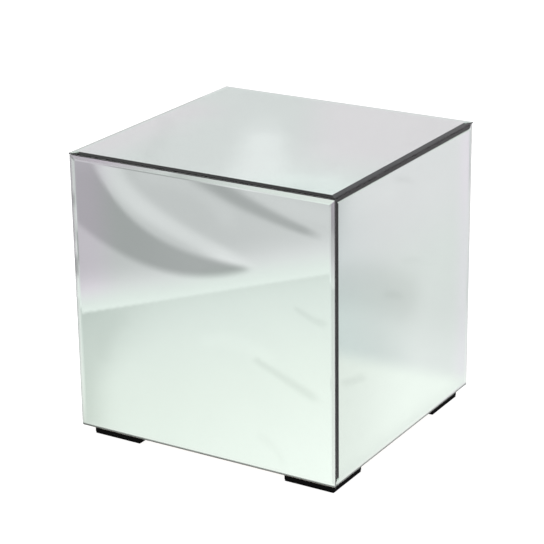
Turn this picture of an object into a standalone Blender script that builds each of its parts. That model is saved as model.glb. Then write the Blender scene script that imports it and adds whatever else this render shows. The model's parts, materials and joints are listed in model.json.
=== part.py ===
"""Mirrored display cube: five bevelled mirrors stuck to a screwed board carcass on four low feet.

Metres, +Z up. The origin is the middle of the base, on the surface that the cube stands on.
The front faces -Y and the right side faces +X. Run it with blender --background --python part.py.
"""

import math

import bmesh
import bpy
from mathutils import Matrix, Vector

# Overall size
WIDTH = 0.400
DEPTH = 0.386
HEIGHT = 0.404

# Clearance between touching pieces, and the open joints between mirrors: at the corners and under the top
GAP = 0.0003
MIRROR_JOINT = 0.0005
TOP_JOINT = 0.0010

# Mirrors: silvered float glass with a ground bevel on all four sides
GLASS = 0.003
BEVEL_WIDTH = 0.0068
BEVEL_DROP = 0.0014
ARRIS = 0.0003
ARRIS_ANGLE = math.radians(50)

# Double-sided foam tape between the mirrors and the boards
TAPE = 0.001
TAPE_WIDTH = 0.025
TAPE_MARGIN = 0.015
TAPE_WINDOWS = 3

# Carcass boards and the battens in its four upright corners
BOARD = 0.012
BATTEN = 0.024

# Feet: moulded blocks with a felt pad underneath
BASE = 0.012
PAD = 0.002
FOOT = BASE - PAD - 2 * GAP
FOOT_SIZE = 0.074
FOOT_ROUND = 0.0005
FOOT_ROUND_SEGMENTS = 2
PAD_SIZE = 0.0736
PAD_ROUND = 0.001
PAD_ROUND_SEGMENTS = 3

# How far in from each side of the cube the feet stand
FOOT_INSET_LEFT = 0.016
FOOT_INSET_RIGHT = 0.007
FOOT_INSET_FRONT = 0.009
FOOT_INSET_BACK = 0.022

# Countersunk screws
HEAD_RADIUS = 0.0038
HEAD_RIM = 0.0004
HEAD_DEPTH = 0.0026
SHANK_RADIUS = 0.002
POINT = 0.005
SCREW_SIDES = 12
SCREW_MERGE = 0.00001
CARCASS_SCREW = 0.030
FOOT_SCREW = 0.018
FOOT_SCREW_OFFSET = 0.020
FRONT_SCREW_HEIGHTS = (0.090, 0.290)
SIDE_SCREW_HEIGHTS = (0.120, 0.320)

# What follows from the sizes above
LID_UNDERSIDE = HEIGHT - GLASS
MIRROR_TOP = LID_UNDERSIDE - TOP_JOINT
SIDE_MIRROR = DEPTH - GLASS - MIRROR_JOINT
BACK_MIRROR = WIDTH - 2 * GLASS - 2 * MIRROR_JOINT
MIRROR_TO_BOARD = TAPE + 2 * GAP
CARCASS_X = WIDTH - 2 * GLASS - 2 * MIRROR_TO_BOARD
CARCASS_Y = DEPTH - 2 * GLASS - 2 * MIRROR_TO_BOARD
CARCASS_TOP = LID_UNDERSIDE - MIRROR_TO_BOARD
WALL_BOTTOM = BASE + BOARD + GAP
WALL_TOP = CARCASS_TOP - BOARD - GAP
BATTEN_X = CARCASS_X / 2 - BOARD - GAP - BATTEN / 2
BATTEN_Y = CARCASS_Y / 2 - BOARD - GAP - BATTEN / 2

FRONT = Vector((0, -1, 0))
BACK = Vector((0, 1, 0))
LEFT = Vector((-1, 0, 0))
RIGHT = Vector((1, 0, 0))
UP = Vector((0, 0, 1))
DOWN = Vector((0, 0, -1))


def clear_scene():
    for obj in list(bpy.data.objects):
        bpy.data.objects.remove(obj, do_unlink=True)


def new_collection(name):
    made = bpy.data.collections.new(name)
    bpy.context.scene.collection.children.link(made)
    return made


def make_material(name, colour, roughness, metallic=0.0):
    made = bpy.data.materials.new(name)
    made.use_nodes = True
    shader = made.node_tree.nodes["Principled BSDF"]
    shader.inputs["Base Color"].default_value = (*colour, 1.0)
    shader.inputs["Roughness"].default_value = roughness
    shader.inputs["Metallic"].default_value = metallic
    return made


def add_object(name, mesh, material, parent):
    obj = bpy.data.objects.new(name, mesh)
    parts.objects.link(obj)
    obj.data.materials.append(material)
    obj.parent = parent
    return obj


def box_mesh(name, size, round_off=0.0):
    """A box of the given size, centred on its origin. round_off is the radius of its edges."""
    mesh = bpy.data.meshes.new(name)
    shape = bmesh.new()
    bmesh.ops.create_cube(shape, size=1.0)
    bmesh.ops.scale(shape, vec=size, verts=shape.verts)
    if round_off:
        bmesh.ops.bevel(
            shape,
            geom=shape.edges[:],
            offset=round_off,
            segments=FOOT_ROUND_SEGMENTS,
            profile=0.5,
            affect="EDGES",
        )
    shape.to_mesh(mesh)
    shape.free()
    return mesh


def add_box(name, low, high, material, parent):
    low = Vector(low)
    high = Vector(high)
    obj = add_object(name, box_mesh(name, high - low), material, parent)
    obj.location = (low + high) / 2
    return obj


def turn_to(outward):
    """The rotation that turns +Z to the outward direction and keeps +Y upright on a wall."""
    if abs(outward.z) > 0.5:
        return Matrix.Rotation(0.0 if outward.z > 0 else math.pi, 4, "X")
    upright = Matrix.Rotation(math.pi / 2, 4, "X")
    heading = math.atan2(outward.x, -outward.y)
    return Matrix.Rotation(heading, 4, "Z") @ upright


def add_mirror(name, width, height, outward, back_centre):
    """One mirror: back on the wall at back_centre, face outward, bevel ground round the face."""
    edge = GLASS - BEVEL_DROP
    mesh = bpy.data.meshes.new(name)
    shape = bmesh.new()
    bmesh.ops.create_cube(shape, size=1.0)
    bmesh.ops.scale(shape, vec=(width, height, edge), verts=shape.verts)
    bmesh.ops.translate(shape, vec=(0, 0, edge / 2), verts=shape.verts)
    face = max(shape.faces, key=lambda item: item.calc_center_median().z)
    bmesh.ops.inset_region(
        shape,
        faces=[face],
        thickness=BEVEL_WIDTH,
        depth=BEVEL_DROP,
        use_even_offset=True,
    )
    shape.to_mesh(mesh)
    shape.free()
    obj = add_object(name, mesh, silvered_glass, cube)
    obj.matrix_local = Matrix.Translation(back_centre) @ turn_to(outward)
    arris = obj.modifiers.new("arris", "BEVEL")
    arris.width = ARRIS
    arris.segments = 1
    arris.limit_method = "ANGLE"
    arris.angle_limit = ARRIS_ANGLE


def add_mirrors():
    """The top laps over the walls, the front covers the front edges of the sides, the back fits between."""
    wall_height = MIRROR_TOP - BASE
    wall_middle = (MIRROR_TOP + BASE) / 2
    add_mirror("mirror_top", WIDTH, DEPTH, UP, Vector((0, 0, LID_UNDERSIDE)))
    back_plane_y = DEPTH / 2 - GLASS
    back_plane_x = WIDTH / 2 - GLASS
    add_mirror("mirror_front", WIDTH, wall_height, FRONT, Vector((0, -back_plane_y, wall_middle)))
    add_mirror("mirror_back", BACK_MIRROR, wall_height, BACK, Vector((0, back_plane_y, wall_middle)))
    side_y = (DEPTH - SIDE_MIRROR) / 2
    add_mirror("mirror_left", SIDE_MIRROR, wall_height, LEFT, Vector((-back_plane_x, side_y, wall_middle)))
    add_mirror("mirror_right", SIDE_MIRROR, wall_height, RIGHT, Vector((back_plane_x, side_y, wall_middle)))


def add_cutter(name, meshes_and_places):
    """Separate closed shapes in one object that a Boolean takes away."""
    shape = bmesh.new()
    for mesh, place in meshes_and_places:
        copy = mesh.copy()
        copy.transform(place)
        shape.from_mesh(copy)
        bpy.data.meshes.remove(copy)
    mesh = bpy.data.meshes.new(name)
    shape.to_mesh(mesh)
    shape.free()
    cutter = bpy.data.objects.new(name, mesh)
    cutters.objects.link(cutter)
    cutter.hide_render = True
    cutter.display_type = "WIRE"
    return cutter


def cut_away(obj, cutter):
    cut = obj.modifiers.new("cut_" + cutter.name, "BOOLEAN")
    cut.operation = "DIFFERENCE"
    cut.solver = "EXACT"
    cut.object = cutter


def add_tape(name, outward, board_centre, width, height):
    """The tape on one board: a frame near its edge, with uprights across it, as the strips join."""
    place = Matrix.Translation(board_centre) @ turn_to(outward) @ Matrix.Translation((0, 0, GAP + TAPE / 2))
    tape = add_object(name, box_mesh(name, (width, height, TAPE)), foam_tape, cube)
    tape.matrix_local = place
    window_width = (width - TAPE_WIDTH) / TAPE_WINDOWS - TAPE_WIDTH
    window_height = height - 2 * TAPE_WIDTH
    window = box_mesh(name + "_window", (window_width, window_height, 3 * TAPE))
    windows = []
    for index in range(TAPE_WINDOWS):
        offset = (index - (TAPE_WINDOWS - 1) / 2) * (window_width + TAPE_WIDTH)
        windows.append((window, place @ Matrix.Translation((offset, 0, 0))))
    cut_away(tape, add_cutter(name + "_windows", windows))
    bpy.data.meshes.remove(window)


def add_tapes():
    middle = (CARCASS_TOP + BASE) / 2
    width = CARCASS_X - 2 * TAPE_MARGIN
    depth = CARCASS_Y - 2 * TAPE_MARGIN
    height = CARCASS_TOP - BASE - 2 * TAPE_MARGIN
    add_tape("tape_top", UP, Vector((0, 0, CARCASS_TOP)), width, depth)
    add_tape("tape_front", FRONT, Vector((0, -CARCASS_Y / 2, middle)), width, height)
    add_tape("tape_back", BACK, Vector((0, CARCASS_Y / 2, middle)), width, height)
    add_tape("tape_left", LEFT, Vector((-CARCASS_X / 2, 0, middle)), depth, height)
    add_tape("tape_right", RIGHT, Vector((CARCASS_X / 2, 0, middle)), depth, height)


def screw_mesh(name, length, grow=0.0):
    """A turned countersunk screw, head at the origin and point down. grow swells it into its hole."""
    profile = [
        (0.0, grow),
        (HEAD_RADIUS + grow, grow),
        (HEAD_RADIUS + grow, -HEAD_RIM),
        (SHANK_RADIUS + grow, -HEAD_DEPTH),
        (SHANK_RADIUS + grow, -length + POINT),
        (0.0, -length - grow),
    ]
    outline = bpy.data.meshes.new(name + "_outline")
    points = [(radius, 0, height) for radius, height in profile]
    steps = [(index, index + 1) for index in range(len(points) - 1)]
    outline.from_pydata(points, steps, [])
    turned = bpy.data.objects.new(name + "_turned", outline)
    cutters.objects.link(turned)
    spin = turned.modifiers.new("turn", "SCREW")
    spin.steps = SCREW_SIDES
    spin.render_steps = SCREW_SIDES
    spin.use_merge_vertices = True
    spin.merge_threshold = SCREW_MERGE
    graph = bpy.context.evaluated_depsgraph_get()
    mesh = bpy.data.meshes.new_from_object(turned.evaluated_get(graph))
    mesh.name = name
    bpy.data.objects.remove(turned)
    return mesh


def add_screws(screw, hole, names_and_points, outward, drilled):
    """One object for each screw, and their holes cut through every piece that is drilled."""
    holes = []
    for name, point in names_and_points:
        place = Matrix.Translation(point) @ turn_to(outward)
        add_object(name, screw, zinc_steel, cube).matrix_local = place
        holes.append((hole, place))
    cutter = add_cutter("holes_" + names_and_points[0][0], holes)
    for piece in drilled:
        cut_away(piece, cutter)


def corners():
    """The four upright corners: name, side along X and side along Y."""
    for side_y, front_or_back in ((-1, "front"), (1, "back")):
        for side_x, left_or_right in ((-1, "left"), (1, "right")):
            yield front_or_back + "_" + left_or_right, side_x, side_y


def add_carcass():
    half_x = CARCASS_X / 2
    half_y = CARCASS_Y / 2
    inner_x = half_x - BOARD
    inner_y = half_y - BOARD
    boards = {
        "bottom": ((-half_x, -half_y, BASE), (half_x, half_y, BASE + BOARD)),
        "top": ((-half_x, -half_y, CARCASS_TOP - BOARD), (half_x, half_y, CARCASS_TOP)),
        "front": ((-half_x, -half_y, WALL_BOTTOM), (half_x, -inner_y, WALL_TOP)),
        "back": ((-half_x, inner_y, WALL_BOTTOM), (half_x, half_y, WALL_TOP)),
        "left": ((-half_x, -inner_y + GAP, WALL_BOTTOM), (-inner_x, inner_y - GAP, WALL_TOP)),
        "right": ((inner_x, -inner_y + GAP, WALL_BOTTOM), (half_x, inner_y - GAP, WALL_TOP)),
    }
    made = {}
    for side, (low, high) in boards.items():
        made[side] = add_box("board_" + side, low, high, fibreboard, cube)
    for corner, side_x, side_y in corners():
        low = (side_x * BATTEN_X - BATTEN / 2, side_y * BATTEN_Y - BATTEN / 2, WALL_BOTTOM)
        high = (side_x * BATTEN_X + BATTEN / 2, side_y * BATTEN_Y + BATTEN / 2, WALL_TOP)
        made[corner] = add_box("batten_" + corner, low, high, softwood, cube)
    return made


def add_carcass_screws(carcass):
    """Each board is screwed to the battens behind it, with the heads just below the board's face."""
    screw = screw_mesh("carcass_screw", CARCASS_SCREW)
    hole = screw_mesh("carcass_screw_hole", CARCASS_SCREW, GAP)
    face_x = CARCASS_X / 2 - GAP
    face_y = CARCASS_Y / 2 - GAP
    for corner, side_x, side_y in corners():
        x = side_x * BATTEN_X
        y = side_y * BATTEN_Y
        front_or_back, left_or_right = corner.split("_")
        for board, outward, point in (
            ("top", UP, (x, y, CARCASS_TOP - GAP)),
            ("bottom", DOWN, (x, y, BASE + GAP)),
        ):
            screws = [("screw_" + board + "_" + corner, point)]
            add_screws(screw, hole, screws, outward, (carcass[board], carcass[corner]))
        for board, outward, face_point, heights in (
            (front_or_back, FRONT if side_y < 0 else BACK, (x, side_y * face_y), FRONT_SCREW_HEIGHTS),
            (left_or_right, LEFT if side_x < 0 else RIGHT, (side_x * face_x, y), SIDE_SCREW_HEIGHTS),
        ):
            screws = []
            for level, height in zip(("low", "high"), heights):
                name = "screw_" + board + "_at_" + corner + "_" + level
                screws.append((name, (*face_point, height)))
            add_screws(screw, hole, screws, outward, (carcass[board], carcass[corner]))


def add_feet(carcass):
    foot_middle = PAD + GAP + FOOT / 2
    screw = screw_mesh("foot_screw", FOOT_SCREW)
    hole = screw_mesh("foot_screw_hole", FOOT_SCREW, GAP)
    for corner, side_x, side_y in corners():
        inset_x = FOOT_INSET_LEFT if side_x < 0 else FOOT_INSET_RIGHT
        inset_y = FOOT_INSET_FRONT if side_y < 0 else FOOT_INSET_BACK
        x = side_x * (WIDTH / 2 - inset_x - FOOT_SIZE / 2)
        y = side_y * (DEPTH / 2 - inset_y - FOOT_SIZE / 2)
        block = box_mesh("foot_" + corner, (FOOT_SIZE, FOOT_SIZE, FOOT), FOOT_ROUND)
        foot = add_object("foot_" + corner, block, black_plastic, cube)
        foot.location = (x, y, foot_middle)
        pad = add_object("foot_pad_" + corner, pad_sheet("pad_" + corner), black_felt, foot)
        pad.location = (0, 0, PAD / 2 - foot_middle)
        screws = []
        for number, along in ((1, -1), (2, 1)):
            offset_x = along * side_x * FOOT_SCREW_OFFSET
            offset_y = -along * side_y * FOOT_SCREW_OFFSET
            point = (x + offset_x, y + offset_y, PAD + 2 * GAP)
            screws.append(("foot_screw_" + corner + "_" + str(number), point))
        add_screws(screw, hole, screws, DOWN, (foot, carcass["bottom"]))


def pad_sheet(name):
    """A felt pad: a square with rounded corners."""
    mesh = bpy.data.meshes.new(name)
    shape = bmesh.new()
    bmesh.ops.create_cube(shape, size=1.0)
    bmesh.ops.scale(shape, vec=(PAD_SIZE, PAD_SIZE, PAD), verts=shape.verts)
    upright = [edge for edge in shape.edges if abs(edge.verts[0].co.z - edge.verts[1].co.z) > PAD / 2]
    bmesh.ops.bevel(
        shape,
        geom=upright,
        offset=PAD_ROUND,
        segments=PAD_ROUND_SEGMENTS,
        profile=0.5,
        affect="EDGES",
    )
    shape.to_mesh(mesh)
    shape.free()
    return mesh


clear_scene()
parts = new_collection("mirrored_display_cube")
cutters = new_collection("cutters")

silvered_glass = make_material("silvered_glass", (0.80, 0.86, 0.83), 0.03, 1.0)
fibreboard = make_material("fibreboard", (0.42, 0.30, 0.19), 0.80)
softwood = make_material("softwood", (0.62, 0.46, 0.28), 0.70)
foam_tape = make_material("foam_tape", (0.10, 0.10, 0.10), 0.85)
zinc_steel = make_material("zinc_steel", (0.62, 0.63, 0.64), 0.35, 1.0)
black_plastic = make_material("black_plastic", (0.012, 0.012, 0.013), 0.45)
black_felt = make_material("black_felt", (0.015, 0.015, 0.016), 0.95)

cube = bpy.data.objects.new("cube", None)
parts.objects.link(cube)

add_mirrors()
add_tapes()
carcass_pieces = add_carcass()
add_carcass_screws(carcass_pieces)
add_feet(carcass_pieces)
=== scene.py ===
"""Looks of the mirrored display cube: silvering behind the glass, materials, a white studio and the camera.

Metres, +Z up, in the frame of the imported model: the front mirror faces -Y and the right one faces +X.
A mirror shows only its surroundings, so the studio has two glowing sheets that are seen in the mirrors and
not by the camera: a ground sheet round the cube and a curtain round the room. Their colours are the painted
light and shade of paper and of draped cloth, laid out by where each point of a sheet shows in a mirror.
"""

import json
import math

import bmesh
import bpy
import numpy as np
from mathutils import Matrix, Vector


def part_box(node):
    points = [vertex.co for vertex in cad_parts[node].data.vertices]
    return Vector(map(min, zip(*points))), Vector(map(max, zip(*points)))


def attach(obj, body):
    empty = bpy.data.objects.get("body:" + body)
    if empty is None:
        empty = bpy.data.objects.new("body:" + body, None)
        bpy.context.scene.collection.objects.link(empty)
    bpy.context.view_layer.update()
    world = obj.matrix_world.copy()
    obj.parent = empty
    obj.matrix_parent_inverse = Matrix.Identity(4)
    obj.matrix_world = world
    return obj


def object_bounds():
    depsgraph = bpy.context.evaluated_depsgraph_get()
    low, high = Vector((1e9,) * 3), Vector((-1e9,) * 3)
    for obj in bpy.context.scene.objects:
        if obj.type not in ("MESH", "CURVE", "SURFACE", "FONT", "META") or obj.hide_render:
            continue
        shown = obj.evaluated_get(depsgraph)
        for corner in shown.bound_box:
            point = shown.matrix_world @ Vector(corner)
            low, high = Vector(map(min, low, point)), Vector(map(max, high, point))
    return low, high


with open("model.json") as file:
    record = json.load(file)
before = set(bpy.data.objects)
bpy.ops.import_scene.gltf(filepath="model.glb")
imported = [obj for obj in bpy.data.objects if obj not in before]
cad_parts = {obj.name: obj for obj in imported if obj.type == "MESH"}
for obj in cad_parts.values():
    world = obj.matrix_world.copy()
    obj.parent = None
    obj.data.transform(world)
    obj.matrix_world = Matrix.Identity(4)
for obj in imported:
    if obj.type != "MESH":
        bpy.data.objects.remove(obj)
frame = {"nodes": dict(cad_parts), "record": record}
cad_box = [list(corner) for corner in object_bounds()]

BODY = "root"

# Foot and top of the wall mirrors' glass
BASE_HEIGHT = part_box("mirror_front")[0][2]
TOP_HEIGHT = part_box("mirror_front")[1][2]

# Camera: where it stands round the cube, what it aims at, its roll and its lens
CAMERA_AZIMUTH = math.radians(31.45)
CAMERA_ELEVATION = math.radians(20.17)
CAMERA_ROLL = math.radians(-0.80)
CAMERA_DISTANCE = 2.734
CAMERA_AIM = Vector((-0.0079, 0.0, 0.2085))
CAMERA_LENS = 131.6
CAMERA_SENSOR = 36.0

# Silvering and its backing paint: two films just inside each glass panel's back, paint behind silver
FILM_THICKNESS = 0.00010
FILM_DEPTH = 0.00005
FILM_MARGIN = 0.0004

# A darker rim painted into a wall mirror's silver colour: how far it reaches in from the foot, the top and
# one upright edge
DARK_RIM_FOOT = 0.0034
DARK_RIM_TOP = 0.0062
DARK_RIM_SIDE = 0.0045
SIDE_COLOUR = (0.50, 0.47, 0.50, 1.0)
FOOT_COLOUR = (0.20, 0.21, 0.20, 1.0)

# The most of SIDE_COLOUR that the upright edge and the top take. The upright edge takes only a share of that
# below the first height, growing to all of it at the second. The top takes all of it within the first
# distance of the upright edge, and none past the second.
DARK_RIM_SIDE_MOST = 0.9
DARK_RIM_TOP_MOST = 0.55
DARK_RIM_LOW_SHARE = 0.25
DARK_RIM_HEIGHTS = (0.10, 0.30)
DARK_RIM_DISTANCES = (0.10, 0.30)

# Glass
GLASS_IOR = 1.52

# Light: a lamp overhead, a world that is white at eye level and dimmer above the curtain, with the upward
# parts of direction between which it turns, and a lit floor slab
LAMP_HEIGHT = 3.2
LAMP_SIZE = 1.2
LAMP_POWER = 60.0
WORLD_WHITE = 1.1
WORLD_DIM = 0.5
WORLD_TURN = (0.15, 0.40)
FLOOR_GLOW = 0.93
FLOOR_REACH = 20.0
FLOOR_THICKNESS = 0.02

# Ground sheet: how far it reaches, its finely divided middle, and how each step beyond that grows
SHEET_REACH = 5.0
SHEET_FINE = 1.3
SHEET_STEP = 0.009
SHEET_HEIGHT = 0.001
SHEET_GROWTH = 1.25

# Over what distance its patterns set in beside the cube and meet out from the cube's corner, and between
# which distances from the middle they fade into the plain cloth of the room
PATTERN_START = 0.02
PATTERN_MEET = 0.05
PLAIN_FROM = 1.4
PLAIN_TO = 3.0

# Curtain round the room. The top mirror's pattern lies behind the cube: it is whole within the first angle
# and above the second height, and gone past the second angle and below the first height
CURTAIN_RADIUS = 4.0
CURTAIN_HEIGHT = 3.0
CURTAIN_COLUMNS = 900
CURTAIN_ROWS = 60
PATTERN_ANGLES = (0.25, 0.35)
PATTERN_HEIGHTS = (0.8, 1.2)

# Points along a fold at which its nearness is measured
FOLD_STEPS = 48

# The share of red, green and blue light that a mirror of this glass gives back
MIRROR_TINT = np.array((0.82, 0.917, 0.843))


class Nodes:
    """Short ways to add nodes to a material and link them."""

    def __init__(self, owner):
        self.tree = owner.node_tree
        self.tree.nodes.clear()

    def add(self, kind, settings=None, **inputs):
        node = self.tree.nodes.new("ShaderNode" + kind)
        for name, value in (settings or {}).items():
            setattr(node, name, value)
        for name, value in inputs.items():
            self.set(node.inputs[name.replace("_", " ")], value)
        return node

    def set(self, socket, value):
        if isinstance(value, bpy.types.NodeSocket):
            self.tree.links.new(value, socket)
        else:
            socket.default_value = value

    def place(self, stretch=(1, 1, 1)):
        """Object coordinates in metres, stretched along the axes."""
        coordinates = self.add("TexCoord")
        mapping = self.add("Mapping", Vector=coordinates.outputs["Object"], Scale=stretch)
        return mapping.outputs[0]

    def noise(self, scale, detail=4.0, roughness=0.5, distortion=0.0, stretch=(1, 1, 1)):
        made = self.add(
            "TexNoise",
            Vector=self.place(stretch),
            Scale=scale,
            Detail=detail,
            Roughness=roughness,
            Distortion=distortion,
        )
        return made.outputs[0]

    def span(self, value, low, high, start=0.3, end=0.7):
        """The value's range from start to end, turned into low to high."""
        made = self.add("MapRange", From_Min=start, From_Max=end, To_Min=low, To_Max=high)
        self.set(made.inputs[0], value)
        return made.outputs[0]

    def blend(self, factor, low, high, start=0.3, end=0.7):
        """A colour between low and high as the factor goes from start to end."""
        made = self.add("ValToRGB", Fac=factor)
        made.color_ramp.elements[0].position = start
        made.color_ramp.elements[0].color = (*low, 1.0)
        made.color_ramp.elements[1].position = end
        made.color_ramp.elements[1].color = (*high, 1.0)
        return made.outputs[0]

    def math(self, operation, first, second):
        made = self.add("Math", {"operation": operation})
        self.set(made.inputs[0], first)
        self.set(made.inputs[1], second)
        return made.outputs[0]

    def times(self, first, second):
        return self.math("MULTIPLY", first, second)

    def maximum(self, first, second):
        return self.math("MAXIMUM", first, second)

    def mix(self, factor, first, second, kind="MIX"):
        """Two colours mixed. Sockets 0, 6 and 7 of the node are its factor and its two colours."""
        made = self.add("Mix", {"data_type": "RGBA", "blend_type": kind})
        self.set(made.inputs[0], factor)
        self.set(made.inputs[6], first)
        self.set(made.inputs[7], second)
        return made.outputs[2]

    def bump(self, height, distance, strength=1.0):
        return self.add("Bump", Height=height, Distance=distance, Strength=strength).outputs[0]

    def finish(self, surface, volume=None):
        out = self.add("OutputMaterial", Surface=surface)
        if volume:
            self.set(out.inputs["Volume"], volume)


def new_material(name):
    made = bpy.data.materials.new(name)
    made.use_nodes = True
    return made, Nodes(made)


def glass_material():
    """Clear float glass: green along its depth, with a faint draw in its surface and a few wiped smears."""
    made, nodes = new_material("float_glass")
    draw = nodes.noise(9.0, detail=1.0)
    smears = nodes.noise(14.0, detail=5.0, roughness=0.6, distortion=0.8, stretch=(1, 1, 0.35))
    shader = nodes.add(
        "BsdfPrincipled",
        Base_Color=(1.0, 1.0, 1.0, 1.0),
        Roughness=nodes.span(smears, 0.0, 0.035, 0.45, 0.85),
        IOR=GLASS_IOR,
        Transmission_Weight=1.0,
        Normal=nodes.bump(draw, 0.00015),
    )
    absorb = nodes.add("VolumeAbsorption", Color=(0.10, 0.80, 0.35, 1.0), Density=20.0)
    nodes.finish(shader.outputs[0], absorb.outputs[0])
    return made


def silver_colour(nodes):
    """Silver with the slightest cloudiness."""
    cloud = nodes.noise(11.0, detail=6.0)
    return nodes.blend(cloud, (0.920, 0.940, 0.922), (0.935, 0.955, 0.935))


def silver_material(name):
    """Silver with no darkened rim, behind the glass of the top mirror."""
    made, nodes = new_material(name)
    shader = nodes.add("BsdfPrincipled", Base_Color=silver_colour(nodes), Roughness=0.0, Metallic=1.0)
    nodes.finish(shader.outputs[0])
    return made


def rim_darkened_silver(name, along, edge, way):
    """Silver of a wall mirror, dim along its foot, and along its top near the upright edge that is dim too.

    That edge is at this place on the axis called along, and way is the sign of the way out to it.
    """
    made, nodes = new_material(name)
    place = nodes.add("SeparateXYZ", Vector=nodes.place())
    sideways = place.outputs[along]
    height = place.outputs["Z"]
    near, far = (edge - way * distance for distance in DARK_RIM_DISTANCES)
    at_side = nodes.span(sideways, 0.0, DARK_RIM_SIDE_MOST, edge - way * DARK_RIM_SIDE, edge)
    upward = nodes.span(height, DARK_RIM_LOW_SHARE, 1.0, *DARK_RIM_HEIGHTS)
    top_start = TOP_HEIGHT - DARK_RIM_TOP
    at_top = nodes.span(height, 0.0, DARK_RIM_TOP_MOST, top_start, top_start + 0.2 * DARK_RIM_TOP)
    outward = nodes.span(sideways, 0.0, 1.0, far, near)
    rim = nodes.maximum(nodes.times(at_side, upward), nodes.times(at_top, outward))
    foot_end = BASE_HEIGHT + DARK_RIM_FOOT
    foot = nodes.span(height, 1.0, 0.0, foot_end - 0.4 * DARK_RIM_FOOT, foot_end)
    # The darker rim along the top and the upright edge, then along the foot, painted into the silver's
    # colour
    dim = nodes.mix(rim, silver_colour(nodes), SIDE_COLOUR)
    colour = nodes.mix(foot, dim, FOOT_COLOUR)
    shader = nodes.add("BsdfPrincipled", Base_Color=colour, Roughness=0.0, Metallic=1.0)
    nodes.finish(shader.outputs[0])
    return made


def paint_material():
    """The dark grey paint that seals the silver."""
    made, nodes = new_material("backing_paint")
    mottle = nodes.noise(90.0, detail=6.0)
    shader = nodes.add(
        "BsdfPrincipled",
        Base_Color=nodes.blend(mottle, (0.036, 0.048, 0.045), (0.056, 0.072, 0.068)),
        Roughness=nodes.span(mottle, 0.45, 0.65),
        Normal=nodes.bump(mottle, 0.00003),
    )
    nodes.finish(shader.outputs[0])
    return made


def fibreboard_material():
    """Pressed fibres: a fine speckle over a broad mottle, with short hairs lying flat."""
    made, nodes = new_material("fibreboard")
    speckle = nodes.noise(900.0, detail=3.0, roughness=0.7)
    mottle = nodes.noise(35.0, detail=5.0)
    hairs = nodes.noise(500.0, detail=2.0, stretch=(1, 0.12, 1))
    base = nodes.blend(mottle, (0.26, 0.175, 0.105), (0.36, 0.25, 0.155))
    fine = nodes.blend(speckle, (0.62, 0.60, 0.58), (1.0, 1.0, 1.0))
    shader = nodes.add(
        "BsdfPrincipled",
        Base_Color=nodes.mix(1.0, base, fine, "MULTIPLY"),
        Roughness=nodes.span(mottle, 0.75, 0.9),
        Normal=nodes.bump(hairs, 0.0001),
    )
    nodes.finish(shader.outputs[0])
    return made


def softwood_material():
    """Planed pine: growth rings drawn out along its length, and fine pores."""
    made, nodes = new_material("softwood")
    rings = nodes.add(
        "TexWave",
        {"wave_type": "RINGS", "rings_direction": "Z"},
        Vector=nodes.place((1, 1, 0.08)),
        Scale=45.0,
        Distortion=3.0,
        Detail=3.0,
        Detail_Scale=1.5,
    ).outputs[0]
    pores = nodes.noise(700.0, detail=2.0, stretch=(1, 1, 0.05))
    shader = nodes.add(
        "BsdfPrincipled",
        Base_Color=nodes.blend(rings, (0.62, 0.45, 0.27), (0.43, 0.27, 0.13), 0.1, 0.95),
        Roughness=nodes.span(rings, 0.65, 0.8),
        Normal=nodes.bump(pores, 0.00008),
    )
    nodes.finish(shader.outputs[0])
    return made


def foam_material():
    """Closed-cell foam tape: dark, with the cells showing as pits."""
    made, nodes = new_material("foam_tape")
    cells = nodes.add("TexVoronoi", Vector=nodes.place(), Scale=2200.0).outputs[0]
    shade = nodes.noise(60.0)
    shader = nodes.add(
        "BsdfPrincipled",
        Base_Color=nodes.blend(shade, (0.018, 0.018, 0.019), (0.035, 0.035, 0.036)),
        Roughness=nodes.span(shade, 0.85, 0.95),
        Normal=nodes.bump(cells, 0.0001),
    )
    nodes.finish(shader.outputs[0])
    return made


def zinc_material():
    """Bright zinc plate with a crystalline bloom and handling marks."""
    made, nodes = new_material("zinc_steel")
    bloom = nodes.noise(450.0, detail=5.0)
    marks = nodes.noise(1500.0, detail=2.0, stretch=(1, 0.1, 1))
    shader = nodes.add(
        "BsdfPrincipled",
        Base_Color=nodes.blend(bloom, (0.56, 0.57, 0.58), (0.70, 0.71, 0.70)),
        Roughness=nodes.span(bloom, 0.25, 0.45),
        Metallic=1.0,
        Normal=nodes.bump(marks, 0.00002),
    )
    nodes.finish(shader.outputs[0])
    return made


def plastic_material():
    """Moulded black plastic with a fine spark-eroded grain, dusty in places."""
    made, nodes = new_material("black_plastic")
    grain = nodes.noise(1600.0, detail=3.0, roughness=0.7)
    dust = nodes.noise(70.0, detail=5.0)
    shader = nodes.add(
        "BsdfPrincipled",
        Base_Color=nodes.blend(dust, (0.0015, 0.0015, 0.0015), (0.0035, 0.0035, 0.0035)),
        Roughness=nodes.span(dust, 0.7, 0.85),
        Specular_IOR_Level=0.05,
        Normal=nodes.bump(grain, 0.00006),
    )
    nodes.finish(shader.outputs[0])
    return made


def felt_material():
    """Pressed felt: matted fibres that catch light at a low angle."""
    made, nodes = new_material("black_felt")
    fibres = nodes.noise(1300.0, detail=5.0, roughness=0.75, distortion=2.0)
    shader = nodes.add(
        "BsdfPrincipled",
        Base_Color=nodes.blend(fibres, (0.001, 0.001, 0.001), (0.005, 0.005, 0.005)),
        Roughness=0.95,
        Specular_IOR_Level=0.03,
        Sheen_Weight=0.005,
        Normal=nodes.bump(fibres, 0.0002),
    )
    nodes.finish(shader.outputs[0])
    return made


def floor_material():
    """White paper on a light table, with the faintest tooth."""
    made, nodes = new_material("floor_paper")
    tooth = nodes.noise(220.0, detail=4.0)
    shader = nodes.add(
        "BsdfPrincipled",
        Base_Color=nodes.blend(tooth, (0.36, 0.36, 0.36), (0.40, 0.40, 0.40)),
        Roughness=0.9,
        Specular_IOR_Level=0.0,
        Emission_Color=(1.0, 1.0, 1.0, 1.0),
        Emission_Strength=FLOOR_GLOW,
    )
    nodes.finish(shader.outputs[0])
    return made


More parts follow.
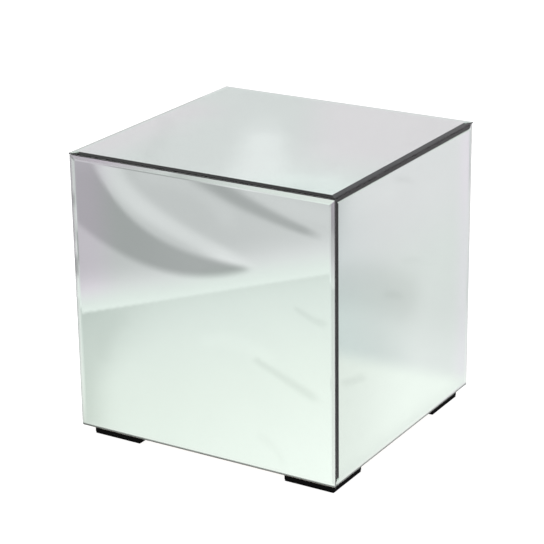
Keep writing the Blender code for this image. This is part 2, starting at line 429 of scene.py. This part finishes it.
def glowing_material(name):
    """A sheet that glows, though it is no lamp, with the painted light and shade held in the mesh's colours.
    """
    made, nodes = new_material(name)
    shade = nodes.add("Attribute", {"attribute_name": "shade"})
    shader = nodes.add("Emission", Color=shade.outputs["Color"], Strength=1.0)
    nodes.finish(shader.outputs[0])
    made.cycles.emission_sampling = "NONE"
    return made


def box_mesh(name, low, high):
    mesh = bpy.data.meshes.new(name)
    shape = bmesh.new()
    bmesh.ops.create_cube(shape, size=1.0)
    bmesh.ops.scale(shape, vec=high - low, verts=shape.verts)
    bmesh.ops.translate(shape, vec=(low + high) / 2, verts=shape.verts)
    shape.to_mesh(mesh)
    shape.free()
    return mesh


def link(name, data):
    obj = bpy.data.objects.new(name, data)
    bpy.context.scene.collection.objects.link(obj)
    return obj


def add_film(name, low, high, axis, inward, depth, material):
    """A thin sheet that lies depth inside the back of a mirror's glass."""
    low = low.copy()
    high = high.copy()
    if inward > 0:
        high[axis] -= depth
        low[axis] = high[axis] - FILM_THICKNESS
    else:
        low[axis] += depth
        high[axis] = low[axis] + FILM_THICKNESS
    film = link(name, box_mesh(name, low, high))
    film.data.materials.append(material)
    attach(film, BODY)


def add_silvering(side, axis, inward, silver, paint):
    """Silver and backing paint for one mirror.

    Axis is the one that the mirror faces along, and inward the sign of the way along it into the cube.
    """
    low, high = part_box("mirror_" + side)
    for other in range(3):
        if other != axis:
            low[other] += FILM_MARGIN
            high[other] -= FILM_MARGIN
    add_film("paint_" + side, low, high, axis, inward, FILM_DEPTH, paint)
    behind = 2 * FILM_DEPTH + FILM_THICKNESS
    add_film("silvering_" + side, low, high, axis, inward, behind, silver)


def camera_place():
    turn = (
        Matrix.Rotation(CAMERA_AZIMUTH, 4, "Z")
        @ Matrix.Rotation(math.pi / 2 - CAMERA_ELEVATION, 4, "X")
        @ Matrix.Rotation(CAMERA_ROLL, 4, "Z")
    )
    back = turn.to_3x3() @ Vector((0, 0, 1))
    return Matrix.Translation(CAMERA_AIM + back * CAMERA_DISTANCE) @ turn


def add_camera():
    data = bpy.data.cameras.new("camera")
    data.lens = CAMERA_LENS
    data.sensor_width = CAMERA_SENSOR
    camera = link("camera", data)
    camera.matrix_world = camera_place()
    bpy.context.scene.camera = camera


# --- The glowing sheets that the mirrors show, with painted light and shade. Brightness is on the 0 to 1 display scale, as it shows in a mirror.


def smooth(value, start, end):
    """0 below start, 1 above end, and an even curve between."""
    share = np.clip((value - start) / (end - start), 0.0, 1.0)
    return share * share * (3.0 - 2.0 * share)


def fold(across, down, points, widths, strength):
    """How much a soft streak of painted fold light lightens, or of painted fold shade darkens, along a
    smooth curve through three points.

    Widths are those of its start and end. It fades over its last tenth.
    """
    first, middle, last = (np.array(point) for point in points)
    control = 2.0 * middle - (first + last) / 2.0
    best = np.zeros(across.shape)
    for step in range(FOLD_STEPS + 1):
        along = step / FOLD_STEPS
        at = (1 - along) ** 2 * first + 2 * along * (1 - along) * control + along**2 * last
        width = widths[0] + (widths[1] - widths[0]) * along
        fade = min(1.0, 8.0 * (1.0 - along) + 0.25)
        reach = ((across - at[0]) ** 2 + (down - at[1]) ** 2) / width**2
        best = np.maximum(best, fade * np.exp(-(reach**1.5)))
    return strength * best


def with_painted_folds(value, across, down, folds):
    """The brightness with the painted light and shade of folds added, each of them given by its points,
    widths and strength.
    """
    for points, widths, strength in folds:
        value = value + fold(across, down, points, widths, strength)
    return value


def laid_over(base, pattern, share):
    """The pattern laid over the base, wholly where its share is 1."""
    return base + (pattern - base) * share[:, None]


# Painted light (positive strength) and painted shade (negative strength) of folds in the paper and the cloth
# that each mirror shows: points, widths and strength of each fold
FRONT_PAPER_PAINTED_FOLDS = (
    (((0.71, 0.61), (0.82, 0.655), (0.93, 0.70)), (0.012, 0.018), -0.045),
    (((0.86, 0.40), (0.92, 0.425), (0.96, 0.43)), (0.010, 0.014), -0.035),
    (((0.10, 0.72), (0.13, 0.62), (0.20, 0.56)), (0.030, 0.030), -0.012),
    (((0.72, 0.88), (0.78, 0.92), (0.80, 0.97)), (0.016, 0.012), -0.014),
    (((0.52, 0.58), (0.64, 0.56), (0.76, 0.60)), (0.030, 0.030), 0.010),
)
FRONT_CLOTH_PAINTED_FOLDS = (
    (((0.16, 0.00), (0.29, 0.154), (0.68, 0.282)), (0.052, 0.027), 0.075),
    (((0.50, 0.000), (0.70, 0.080), (0.94, 0.138)), (0.038, 0.013), -0.118),
    (((0.30, 0.03), (0.50, 0.050), (0.62, 0.150)), (0.040, 0.040), 0.018),
    (((0.70, 0.02), (0.84, 0.055), (1.00, 0.075)), (0.030, 0.030), 0.016),
)
RIGHT_CLOTH_PAINTED_FOLDS = (
    (((0.02, 0.30), (0.26, 0.380), (0.56, 0.530)), (0.075, 0.090), -0.042),
    (((0.08, 0.06), (0.25, 0.060), (0.42, 0.10)), (0.060, 0.050), 0.010),
    (((0.36, 0.440), (0.42, 0.460), (0.48, 0.490)), (0.016, 0.014), -0.024),
    (((0.42, 0.055), (0.48, 0.075), (0.54, 0.095)), (0.012, 0.010), -0.018),
    (((0.48, 0.360), (0.54, 0.375), (0.62, 0.400)), (0.012, 0.010), -0.014),
)
RIGHT_PAPER_PAINTED_FOLDS = ((((0.06, 0.650), (0.13, 0.665), (0.21, 0.680)), (0.012, 0.014), -0.035),)
TOP_PAINTED_FOLDS = (
    (((0.74, 1.06), (0.63, 0.82), (0.40, 0.40)), (0.125, 0.070), 0.060),
    (((1.06, 1.00), (0.92, 0.90), (0.76, 0.84)), (0.120, 0.090), 0.056),
    (((0.30, 1.00), (0.18, 0.72), (0.10, 0.55)), (0.035, 0.030), -0.018),
    (((0.72, 0.60), (0.80, 0.68), (1.00, 0.72)), (0.080, 0.080), 0.012),
)


def front_view(across, down):
    """What the front mirror shows: pale paper, and above a slanting edge a cloth with the painted shade of
    swept folds and of a hollow.
    """
    edge = 0.583 - 0.333 * across
    below = np.clip(down - edge, 0.0, 1.0)
    above = np.clip(edge - down, 0.0, 1.0)
    paper = 0.868 - 0.012 * across + (0.085 + 0.060 * across) * np.sqrt(below / 0.75)
    # Painted shade on the paper near the mirror's left edge
    reach = 0.09 + 0.16 * smooth(-below, -0.30, 0.0)
    paper -= 0.085 * np.exp(-((np.clip(across, 0.0, 1.0) / reach) ** 2))
    paper = with_painted_folds(paper, across, down, FRONT_PAPER_PAINTED_FOLDS)
    rest = 0.770 + 0.030 * smooth(across, 0.45, 0.9) - 0.030 * smooth(-across, -0.30, -0.02)
    # Painted light on the cloth near its edge with the paper
    hem = 0.935 - (1.05 - 0.30 * across) * above
    cloth = rest + np.clip(hem - rest, 0.0, None) * smooth(-above, -0.22, -0.05)
    cloth = with_painted_folds(cloth, across, down, FRONT_CLOTH_PAINTED_FOLDS)
    # Painted shade of a hollow in the cloth, with its top, its foot and its own level
    sweep = np.exp(-np.clip(across, 0.0, None) / 0.16)
    top_of_hollow = 0.302 - 0.49 * sweep - 0.008 * smooth(across, 0.4, 0.7)
    foot_of_hollow = 0.243 + 0.610 * across - 0.770 * across**2
    hollow = smooth(down - top_of_hollow, -0.010, 0.020) * smooth(foot_of_hollow - down, -0.016, 0.022)
    hollow *= smooth(-across, -0.73, -0.66)
    depth = 0.655 - 0.012 * np.sin(9.0 * across) + 0.02 * smooth(-down, -0.10, 0.0)
    cloth = cloth + (depth - cloth) * hollow
    on_paper = smooth(down - edge, -0.004, 0.006)
    value = cloth + (paper - cloth) * on_paper
    pale = np.maximum(on_paper, smooth(-above, -0.10, -0.01))
    purple = (1 - pale) * smooth(-across, -0.20, -0.06)
    red = value - 0.022 - 0.026 * pale + 0.030 * purple
    blue = value - 0.008 - 0.022 * pale - 0.010 * smooth(below, 0.0, 0.4) + 0.028 * purple
    return np.stack((red, value, blue), axis=-1)


def right_view(across, down):
    """What the right mirror shows: grey surroundings, the painted shade of a dusky fold and the paper's
    slanting far edge.
    """
    edge = 0.520 + 0.46 * across
    grey = 0.850 + 0.022 * smooth(across, 0.0, 0.7)
    # Painted shade near the front upright edge in the upper part, and painted light just above the paper's
    # edge towards the back
    grey -= 0.080 * np.exp(-((np.clip(across, 0.0, 1.0) / 0.09) ** 2)) * smooth(-down, -0.30, 0.0)
    grey += 0.038 * smooth(down - edge, -0.26, -0.03) * smooth(across, 0.3, 0.6)
    grey = with_painted_folds(grey, across, down, RIGHT_CLOTH_PAINTED_FOLDS)
    paper = 0.918 + 0.050 * smooth(across, 0.0, 0.55) + 0.014 * smooth(down, 0.6, 1.0)
    paper = with_painted_folds(paper, across, down, RIGHT_PAPER_PAINTED_FOLDS)
    on_paper = smooth(down - edge, -0.040, 0.045)
    value = grey + (paper - grey) * on_paper
    cool = 1 - on_paper
    low = smooth(down, 0.15, 0.45)
    far = 0.022 * smooth(across, 0.86, 0.96)
    red = value - 0.040 + cool * (0.026 * smooth(across + 0.5 * (1 - down), 0.1, 0.8) - 0.016 * low + far)
    blue = value - 0.034 + cool * (0.031 - 0.013 * low + far)
    return np.stack((red, value, blue), axis=-1)


def top_view(across, down):
    """What the top mirror shows: an even grey with broad painted falls of light near the front."""
    value = with_painted_folds(np.full(across.shape, 0.860), across, down, TOP_PAINTED_FOLDS)
    at_left = smooth(-across, -0.24, -0.04) * smooth(down, 0.15, 0.35)
    at_back = smooth(across - 0.5 * down, 0.28, 0.50)
    near_right = smooth(across, 0.60, 0.85) * smooth(down, 0.70, 0.95)
    warm = np.maximum(at_left, at_back * smooth(-down, -0.85, -0.5))
    red = value - 0.028 + 0.026 * warm - 0.016 * near_right
    blue = value - 0.012 + 0.014 * warm - 0.006 * near_right
    return np.stack((red, value, blue), axis=-1)


def room_view(angle, height):
    """The same cloth elsewhere round the room, with soft painted light and shade, for the other mirrors."""
    value = 0.870 + 0.030 * np.sin(3.0 * angle + 2.0 * height) * np.sin(1.7 * height + angle)
    value += 0.018 * np.sin(11.0 * angle + 3.0 * np.sin(2.0 * angle) + 1.3 * height)
    return np.stack((value - 0.035, value, value - 0.025), axis=-1)


def to_light(display):
    """Display brightness in the mirror, turned into the light that the sheet must give."""
    display = np.clip(display, 0.0, 1.0)
    linear = np.where(display <= 0.04045, display / 12.92, ((display + 0.055) / 1.055) ** 2.4)
    return linear / MIRROR_TINT


def shown_in(points, axis, plane):
    """Where each point shows in the mirror plane, looked at from the camera's place."""
    eye = np.array(camera_place().translation)
    eye[axis] = 2.0 * plane - eye[axis]
    share = (plane - eye[axis]) / (points[:, axis] - eye[axis])
    return eye + share[:, None] * (points - eye)


def within(across):
    """1 where a point shows in a mirror, fading to 0 a little way past its two upright edges."""
    return smooth(0.5 - np.abs(across - 0.5), -0.45, -0.04)


def add_grid(name, points, rows, columns, closed, light):
    """A sheet from rows of points, with its light as mesh colours, seen only in mirrors."""
    index = np.arange(rows * columns).reshape(rows, columns)
    right = np.roll(index, -1, axis=1)
    quads = np.stack((index[:-1], right[:-1], right[1:], index[1:]), axis=-1)
    if not closed:
        quads = quads[:, :-1]
    mesh = bpy.data.meshes.new(name)
    mesh.from_pydata(points.tolist(), [], quads.reshape(-1, 4).tolist())
    colours = mesh.color_attributes.new("shade", "FLOAT_COLOR", "POINT")
    colours.data.foreach_set("color", np.concatenate((light, np.ones((len(light), 1))), axis=1).ravel())
    mesh.materials.append(glowing_material(name))
    sheet = link(name, mesh)
    sheet.visible_camera = False
    sheet.visible_diffuse = False
    sheet.visible_shadow = False


def add_ground_sheet():
    steps = int(SHEET_FINE / SHEET_STEP)
    half = [SHEET_STEP * index for index in range(1, steps + 1)]
    while half[-1] < SHEET_REACH:
        half.append(half[-1] + (half[-1] - half[-2]) * SHEET_GROWTH)
    line = np.array([-value for value in reversed(half)] + [0.0] + half)
    x, y = np.meshgrid(line, line)
    points = np.stack((x.ravel(), y.ravel(), np.full(x.size, SHEET_HEIGHT)), axis=-1)
    low, high = (np.array(corner) for corner in cad_box)
    tall = high[2] - BASE_HEIGHT

    in_front = shown_in(np.minimum(points, (np.inf, low[1] - SHEET_STEP, np.inf)), 1, low[1])
    front_across = (in_front[:, 0] - low[0]) / (high[0] - low[0])
    front = front_view(front_across, (high[2] - in_front[:, 2]) / tall)
    at_right = shown_in(np.maximum(points, (high[0] + SHEET_STEP, -np.inf, -np.inf)), 0, high[0])
    right_across = (at_right[:, 1] - low[1]) / (high[1] - low[1])
    right = right_view(right_across, (high[2] - at_right[:, 2]) / tall)
    angle = np.arctan2(points[:, 0], points[:, 1])
    distance = np.hypot(points[:, 0], points[:, 1])
    room = room_view(angle, 4.0 * distance)

    before = np.clip(low[1] - points[:, 1], 0.0, None)
    beside = np.clip(points[:, 0] - high[0], 0.0, None)
    share_front = smooth(before, 0.0, PATTERN_START) * within(front_across)
    share_right = smooth(beside, 0.0, PATTERN_START) * within(right_across)
    share_right *= smooth(beside - before, -PATTERN_MEET, PATTERN_MEET)
    shade = laid_over(room, front, share_front)
    shade = laid_over(shade, right, share_right)
    shade = laid_over(shade, room_view(angle, 0.0), smooth(distance, PLAIN_FROM, PLAIN_TO))
    add_grid("ground_sheet", points, len(line), len(line), False, to_light(shade))


def add_curtain():
    turn = np.linspace(-math.pi, math.pi, CURTAIN_COLUMNS, endpoint=False)
    rise = np.linspace(0.0, CURTAIN_HEIGHT, CURTAIN_ROWS)
    angle, height = (values.ravel() for values in np.meshgrid(turn, rise))
    points = np.stack((CURTAIN_RADIUS * np.sin(angle), CURTAIN_RADIUS * np.cos(angle), height), axis=-1)
    low, high = (np.array(corner) for corner in cad_box)
    shown = shown_in(np.maximum(points, (-np.inf, -np.inf, high[2] + SHEET_STEP)), 2, high[2])
    across = (shown[:, 0] - low[0]) / (high[0] - low[0])
    down = (high[1] - shown[:, 1]) / (high[1] - low[1])
    least, most = PATTERN_ANGLES
    behind = smooth(-np.abs(angle + CAMERA_AZIMUTH), -most, -least) * smooth(height, *PATTERN_HEIGHTS)
    shade = laid_over(room_view(angle, height), top_view(across, down), behind)
    add_grid("curtain", points, CURTAIN_ROWS, CURTAIN_COLUMNS, True, to_light(shade))


def add_stage():
    low = Vector((-FLOOR_REACH, -FLOOR_REACH, -FLOOR_THICKNESS))
    high = Vector((FLOOR_REACH, FLOOR_REACH, 0))
    floor = link("floor", box_mesh("floor", low, high))
    floor.data.materials.append(floor_material())
    add_ground_sheet()
    add_curtain()


def add_light():
    world = bpy.data.worlds.new("studio")
    bpy.context.scene.world = world
    world.use_nodes = True
    nodes = Nodes(world)
    direction = nodes.add("TexCoord")
    parts = nodes.add("SeparateXYZ", Vector=direction.outputs["Generated"])
    level = nodes.span(parts.outputs["Z"], WORLD_WHITE, WORLD_DIM, *WORLD_TURN)
    background = nodes.add("Background", Color=(1.0, 1.0, 1.0, 1.0), Strength=level)
    nodes.add("OutputWorld", Surface=background.outputs[0])
    lamp_data = bpy.data.lights.new("overhead_softbox", "AREA")
    lamp_data.shape = "SQUARE"
    lamp_data.size = LAMP_SIZE
    lamp_data.energy = LAMP_POWER
    lamp = link("overhead_softbox", lamp_data)
    lamp.location = (0, 0, LAMP_HEIGHT)
    lamp.visible_glossy = False
    lamp.visible_transmission = False


slot_materials = {
    "silvered_glass": glass_material(),
    "foam_tape": foam_material(),
    "fibreboard": fibreboard_material(),
    "softwood": softwood_material(),
    "zinc_steel": zinc_material(),
    "black_plastic": plastic_material(),
    "black_felt": felt_material(),
}
for part in frame["record"]["subparts"]:
    node = frame["nodes"][part["node"]]
    node.data.materials.clear()
    node.data.materials.append(slot_materials[part["material_slot"]])

paint = paint_material()
left_edge = cad_box[0][0]
back_edge = cad_box[1][1]
add_silvering("top", 2, -1, silver_material("silver_top"), paint)
add_silvering("front", 1, 1, rim_darkened_silver("silver_front", "X", left_edge, -1), paint)
add_silvering("back", 1, -1, rim_darkened_silver("silver_back", "X", left_edge, -1), paint)
add_silvering("left", 0, 1, rim_darkened_silver("silver_left", "Y", back_edge, 1), paint)
add_silvering("right", 0, -1, rim_darkened_silver("silver_right", "Y", back_edge, 1), paint)

add_stage()
add_light()
add_camera()
bpy.context.scene.view_settings.view_transform = "Standard"
